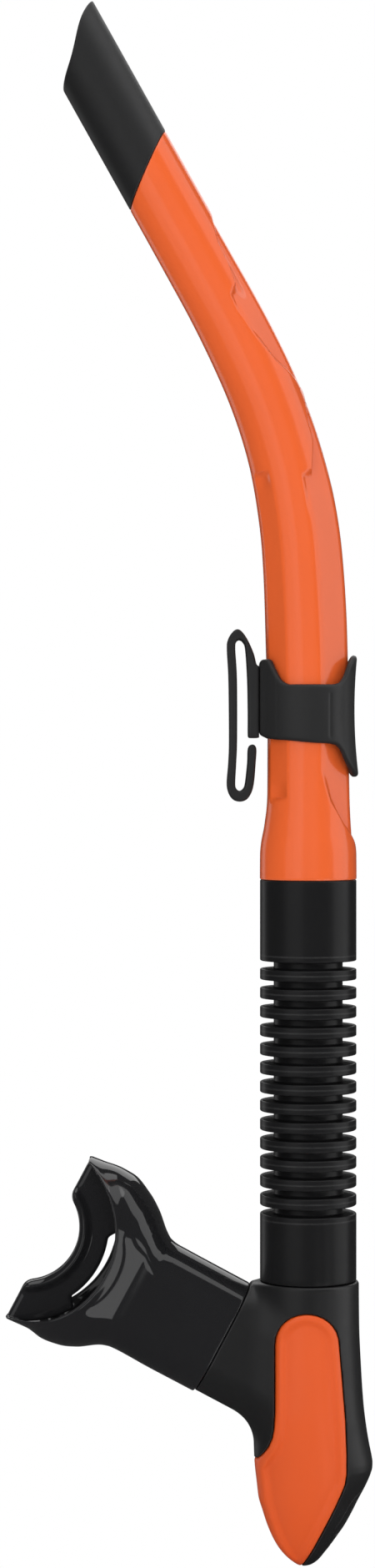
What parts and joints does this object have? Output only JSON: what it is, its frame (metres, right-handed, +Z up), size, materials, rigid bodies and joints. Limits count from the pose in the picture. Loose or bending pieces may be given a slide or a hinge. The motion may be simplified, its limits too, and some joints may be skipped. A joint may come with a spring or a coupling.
{
  "type": "snorkel tube",
  "caption": "Diving snorkel with a curved orange tube, slanted black tip, strap keeper with swivelling hook, ribbed hose, purge valve housing and soft mouthpiece.",
  "frame": {"origin": "centre of the hook's strap slot, which is where the snorkel hangs on a mask strap", "axes": "+Z up along the straight part of the tube and the hose, -X towards the mouth, Y across; the object is symmetric about Y = 0"},
  "size_m": [0.1101, 0.0304, 0.4695],
  "materials": {
    "tube_orange": "smooth glossy moulded orange",
    "cover_orange": "semi-gloss moulded orange",
    "tip_soft_black": "soft matt black",
    "keeper_black": "satin black",
    "hook_black": "satin black",
    "hose_silicone": "satin black silicone",
    "housing_black": "fine matt moulded black",
    "seat_grey": "moulded black",
    "valve_silicone": "milky silicone",
    "mouthpiece_silicone": "polished black silicone"
  },
  "bodies": {
    "tube": {"upper_tube": "tube_orange", "splash_tip": "tip_soft_black"},
    "keeper": {"keeper_band": "keeper_black", "keeper_pivot_pin": "keeper_black"},
    "hook": {"strap_hook": "hook_black"},
    "cuff": {"hose_upper_cuff": "hose_silicone"},
    "rib_01": {"hose_rib_01": "hose_silicone"},
    "rib_02": {"hose_rib_02": "hose_silicone"},
    "rib_03": {"hose_rib_03": "hose_silicone"},
    "rib_04": {"hose_rib_04": "hose_silicone"},
    "rib_05": {"hose_rib_05": "hose_silicone"},
    "rib_06": {"hose_rib_06": "hose_silicone"},
    "rib_07": {"hose_rib_07": "hose_silicone"},
    "rib_08": {"hose_rib_08": "hose_silicone"},
    "rib_09": {"hose_rib_09": "hose_silicone"},
    "rib_10": {"hose_rib_10": "hose_silicone"},
    "rib_11": {"hose_rib_11": "hose_silicone"},
    "rib_12": {"hose_rib_12": "hose_silicone"},
    "rib_13": {"hose_rib_13": "hose_silicone"},
    "mouth_unit": {"hose_lower_cuff": "hose_silicone", "valve_housing": "housing_black", "side_cover": "cover_orange", "vent_grille": "housing_black", "valve_seat": "seat_grey", "mouthpiece": "mouthpiece_silicone"},
    "valve_flap": {"exhaust_valve": "valve_silicone"}
  },
  "joints": [
    {"name": "keeper_slide", "type": "slide", "parent": "tube", "child": "keeper", "axis": [0, 0, 1], "range_m": [-0.008, 0.006]},
    {"name": "hook_swivel", "type": "hinge", "parent": "keeper", "child": "hook", "pos_m": [0.0054, 0, 0.0023], "axis": [1, 0, 0], "range_deg": [-90, 90]},
    {"name": "hose_twist", "type": "hinge", "parent": "tube", "child": "cuff", "pos_m": [0.02005, 0, -0.04895], "axis": [0, 0, 1], "range_deg": [-90, 90]},
    {"name": "hose_bend_01", "type": "hinge", "parent": "cuff", "child": "rib_01", "pos_m": [0.02005, 0, -0.07449], "axis": [0, 1, 0], "range_deg": [-5, 5], "stiffness_Nm_per_rad": 3},
    {"name": "hose_bend_02", "type": "hinge", "parent": "rib_01", "child": "rib_02", "pos_m": [0.02005, 0, -0.08011], "axis": [0, 1, 0], "range_deg": [-5, 5], "stiffness_Nm_per_rad": 3},
    {"name": "hose_bend_03", "type": "hinge", "parent": "rib_02", "child": "rib_03", "pos_m": [0.02005, 0, -0.08574], "axis": [0, 1, 0], "range_deg": [-5, 5], "stiffness_Nm_per_rad": 3},
    {"name": "hose_bend_04", "type": "hinge", "parent": "rib_03", "child": "rib_04", "pos_m": [0.02005, 0, -0.09136], "axis": [0, 1, 0], "range_deg": [-5, 5], "stiffness_Nm_per_rad": 3},
    {"name": "hose_bend_05", "type": "hinge", "parent": "rib_04", "child": "rib_05", "pos_m": [0.02005, 0, -0.09699], "axis": [0, 1, 0], "range_deg": [-5, 5], "stiffness_Nm_per_rad": 3},
    {"name": "hose_bend_06", "type": "hinge", "parent": "rib_05", "child": "rib_06", "pos_m": [0.02005, 0, -0.10261], "axis": [0, 1, 0], "range_deg": [-5, 5], "stiffness_Nm_per_rad": 3},
    {"name": "hose_bend_07", "type": "hinge", "parent": "rib_06", "child": "rib_07", "pos_m": [0.02005, 0, -0.10824], "axis": [0, 1, 0], "range_deg": [-5, 5], "stiffness_Nm_per_rad": 3},
    {"name": "hose_bend_08", "type": "hinge", "parent": "rib_07", "child": "rib_08", "pos_m": [0.02005, 0, -0.11386], "axis": [0, 1, 0], "range_deg": [-5, 5], "stiffness_Nm_per_rad": 3},
    {"name": "hose_bend_09", "type": "hinge", "parent": "rib_08", "child": "rib_09", "pos_m": [0.02005, 0, -0.11949], "axis": [0, 1, 0], "range_deg": [-5, 5], "stiffness_Nm_per_rad": 3},
    {"name": "hose_bend_10", "type": "hinge", "parent": "rib_09", "child": "rib_10", "pos_m": [0.02005, 0, -0.12511], "axis": [0, 1, 0], "range_deg": [-5, 5], "stiffness_Nm_per_rad": 3},
    {"name": "hose_bend_11", "type": "hinge", "parent": "rib_10", "child": "rib_11", "pos_m": [0.02005, 0, -0.13074], "axis": [0, 1, 0], "range_deg": [-5, 5], "stiffness_Nm_per_rad": 3},
    {"name": "hose_bend_12", "type": "hinge", "parent": "rib_11", "child": "rib_12", "pos_m": [0.02005, 0, -0.13636], "axis": [0, 1, 0], "range_deg": [-5, 5], "stiffness_Nm_per_rad": 3},
    {"name": "hose_bend_13", "type": "hinge", "parent": "rib_12", "child": "rib_13", "pos_m": [0.02005, 0, -0.14199], "axis": [0, 1, 0], "range_deg": [-5, 5], "stiffness_Nm_per_rad": 3},
    {"name": "hose_bend_14", "type": "hinge", "parent": "rib_13", "child": "mouth_unit", "pos_m": [0.02005, 0, -0.14761], "axis": [0, 1, 0], "range_deg": [-5, 5], "stiffness_Nm_per_rad": 3},
    {"name": "valve_lift", "type": "slide", "parent": "mouth_unit", "child": "valve_flap", "axis": [0.8616, 0, -0.5075], "range_m": [0, 0.0015]}
  ],
  "couplings": [
    {"joint": "hose_bend_02", "follows": "hose_bend_01", "ratio": 1},
    {"joint": "hose_bend_03", "follows": "hose_bend_01", "ratio": 1},
    {"joint": "hose_bend_04", "follows": "hose_bend_01", "ratio": 1},
    {"joint": "hose_bend_05", "follows": "hose_bend_01", "ratio": 1},
    {"joint": "hose_bend_06", "follows": "hose_bend_01", "ratio": 1},
    {"joint": "hose_bend_07", "follows": "hose_bend_01", "ratio": 1},
    {"joint": "hose_bend_08", "follows": "hose_bend_01", "ratio": 1},
    {"joint": "hose_bend_09", "follows": "hose_bend_01", "ratio": 1},
    {"joint": "hose_bend_10", "follows": "hose_bend_01", "ratio": 1},
    {"joint": "hose_bend_11", "follows": "hose_bend_01", "ratio": 1},
    {"joint": "hose_bend_12", "follows": "hose_bend_01", "ratio": 1},
    {"joint": "hose_bend_13", "follows": "hose_bend_01", "ratio": 1},
    {"joint": "hose_bend_14", "follows": "hose_bend_01", "ratio": 1}
  ]
}
